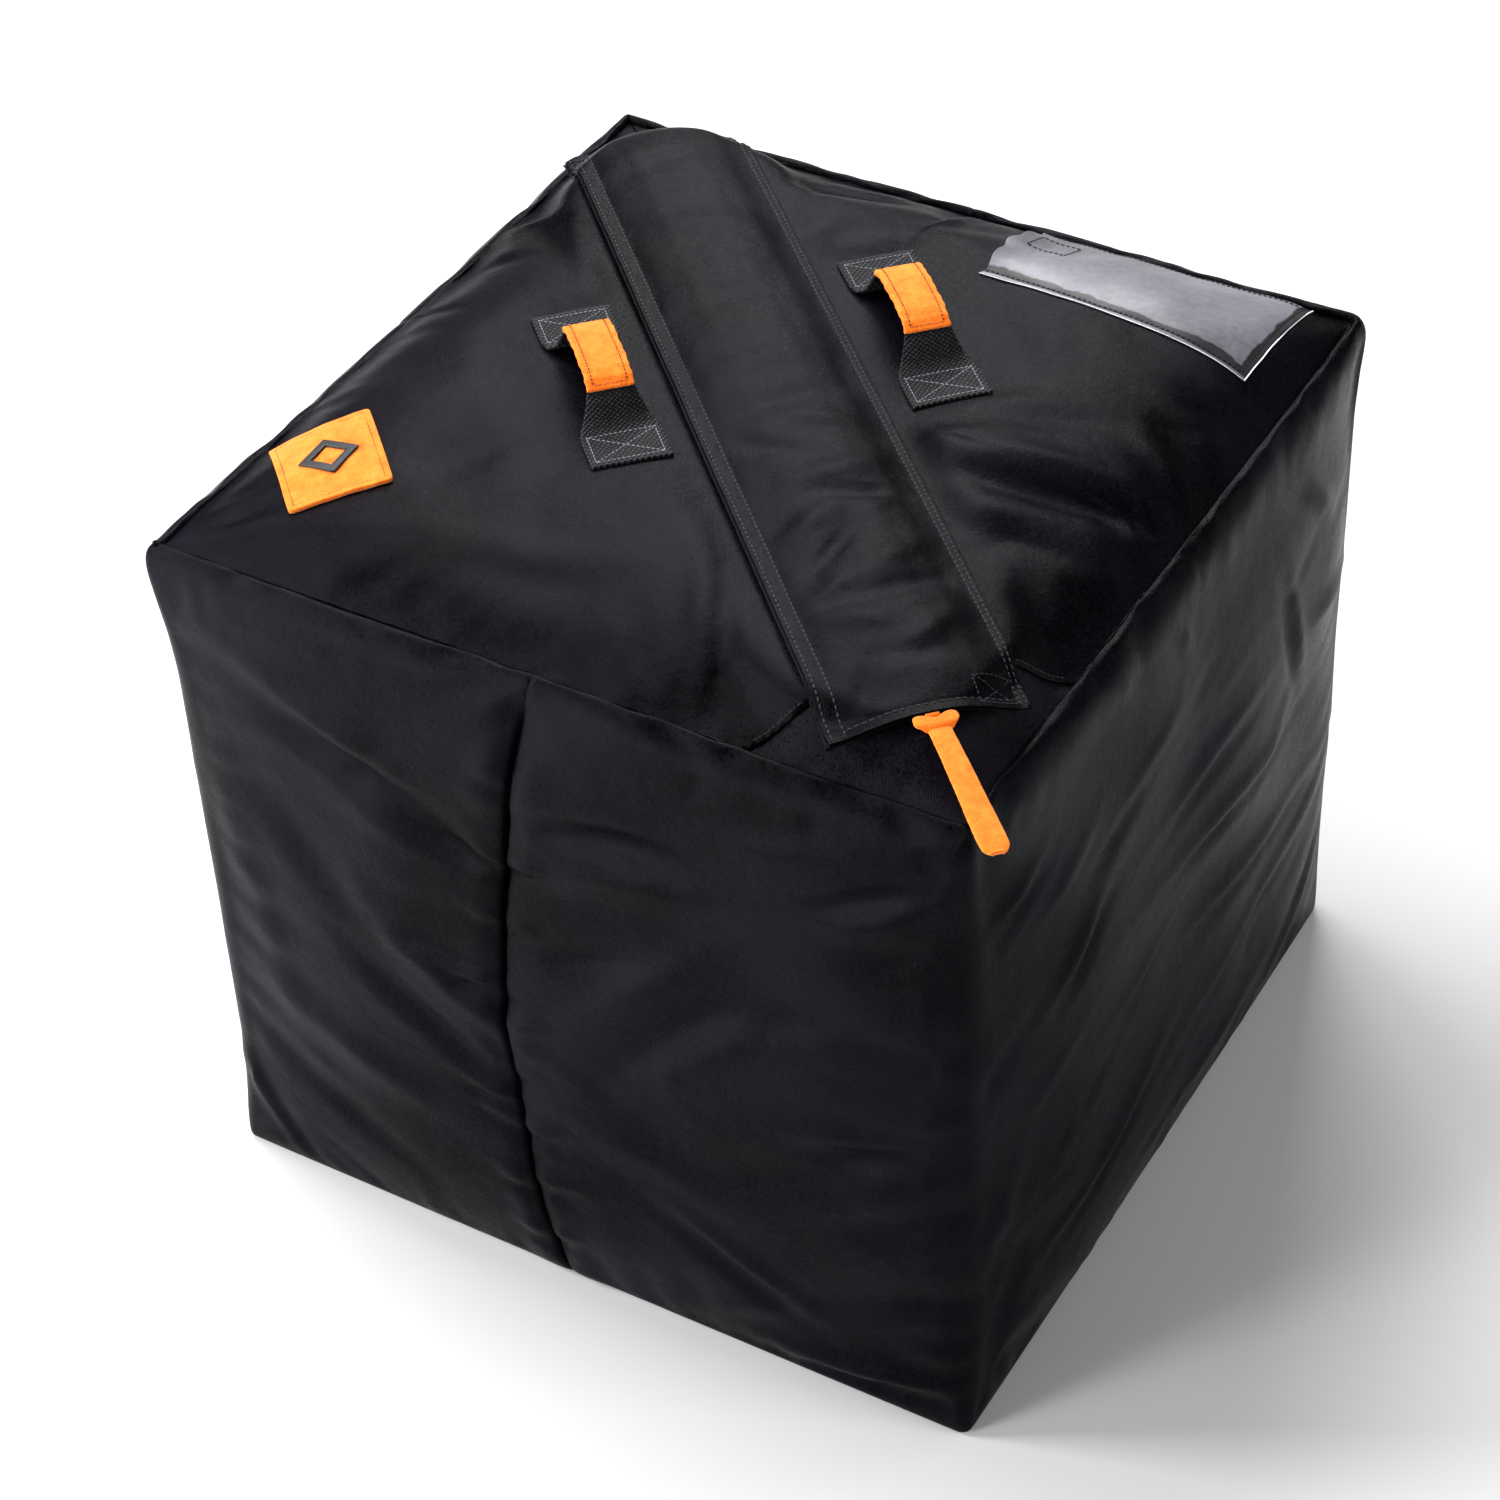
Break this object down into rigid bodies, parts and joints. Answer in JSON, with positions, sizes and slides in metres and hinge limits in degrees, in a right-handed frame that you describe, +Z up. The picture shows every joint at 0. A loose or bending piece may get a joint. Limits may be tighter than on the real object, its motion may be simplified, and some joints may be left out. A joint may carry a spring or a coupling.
{
  "type": "cube kit bag",
  "caption": "Soft padded cube bag for folded kites, with a diagonal lid zip under a storm flap, two webbing handles with suede grips, a suede patch and a clear document window.",
  "frame": {"origin": "centre of the square base, on the surface the bag stands on", "axes": "+Z up; the zip runs along the lid's diagonal from the front corner at +X -Y to the back corner at -X +Y; the document window is at the +X +Y corner"},
  "size_m": [0.5855, 0.5855, 0.56],
  "materials": {
    "outer_fabric": "black coated twill, soft sheen",
    "corner_fabric": "black coated twill, coarser weave",
    "lining_fabric": "grey polyester lining",
    "foam": "grey closed-cell foam padding",
    "webbing": "black polyester webbing",
    "binding": "black woven binding tape",
    "zip_tape": "black woven zip tape",
    "zip_coil": "black nylon coil",
    "zip_metal": "black enamelled zinc",
    "hook_loop": "black hook-and-loop tape",
    "orange_suede": "orange suede, napped",
    "emblem": "black inlay",
    "clear_film": "clear hazy vinyl film"
  },
  "bodies": {
    "bag": {"bottom_panel": "outer_fabric", "side_panel_left": "outer_fabric", "side_panel_right": "outer_fabric", "lid_panel_left": "outer_fabric", "lid_panel_right": "outer_fabric", "front_corner_panel": "corner_fabric", "side_pad_left": "foam", "side_pad_right": "foam", "bottom_pad": "foam", "lid_pad_left": "foam", "lid_pad_right": "foam", "wall_lining": "lining_fabric", "bottom_lining": "lining_fabric", "lid_lining_left": "lining_fabric", "lid_lining_right": "lining_fabric", "top_seam_binding": "binding", "bottom_seam_binding": "binding", "side_seam_bindings": "binding", "zip_tape_left": "zip_tape", "zip_tape_right": "zip_tape", "zip_coil_left": "zip_coil", "zip_coil_right": "zip_coil", "zip_stops": "zip_metal", "flap_sewn_edge": "outer_fabric", "lid_loop_strip": "hook_loop", "left_handle_ends": "webbing", "right_handle_ends": "webbing", "suede_patch": "orange_suede", "patch_emblem": "emblem", "document_window": "clear_film", "window_hook_square": "hook_loop", "window_loop_square": "hook_loop"},
    "storm_flap": {"flap_outer": "outer_fabric", "flap_facing": "outer_fabric", "flap_hook_strip": "hook_loop"},
    "slider": {"zip_slider": "zip_metal", "zip_pull_tab": "zip_metal"},
    "puller": {"suede_puller": "orange_suede"},
    "left_handle": {"left_handle_loop": "webbing", "left_handle_grip": "orange_suede"},
    "right_handle": {"right_handle_loop": "webbing", "right_handle_grip": "orange_suede"}
  },
  "joints": [
    {"name": "storm_flap_hinge", "type": "hinge", "parent": "bag", "child": "storm_flap", "pos_m": [0.03606, 0.03606, 0.5328], "axis": [-0.7071, 0.7071, 0], "range_deg": [0, 120]},
    {"name": "zip_slide", "type": "slide", "parent": "bag", "child": "slider", "axis": [-0.7071, 0.7071, 0], "range_m": [0, 0.54]},
    {"name": "puller_hinge", "type": "hinge", "parent": "slider", "child": "puller", "pos_m": [0.22698, -0.22698, 0.5338], "axis": [-0.7071, -0.7071, 0], "range_deg": [0, 90]},
    {"name": "left_handle_tip", "type": "hinge", "parent": "bag", "child": "left_handle", "pos_m": [-0.09687, -0.04313, 0.5326], "axis": [-0.7071, 0.7071, 0], "range_deg": [-50, 50]},
    {"name": "right_handle_tip", "type": "hinge", "parent": "bag", "child": "right_handle", "pos_m": [0.04313, 0.09687, 0.5326], "axis": [-0.7071, 0.7071, 0], "range_deg": [-50, 50]}
  ]
}
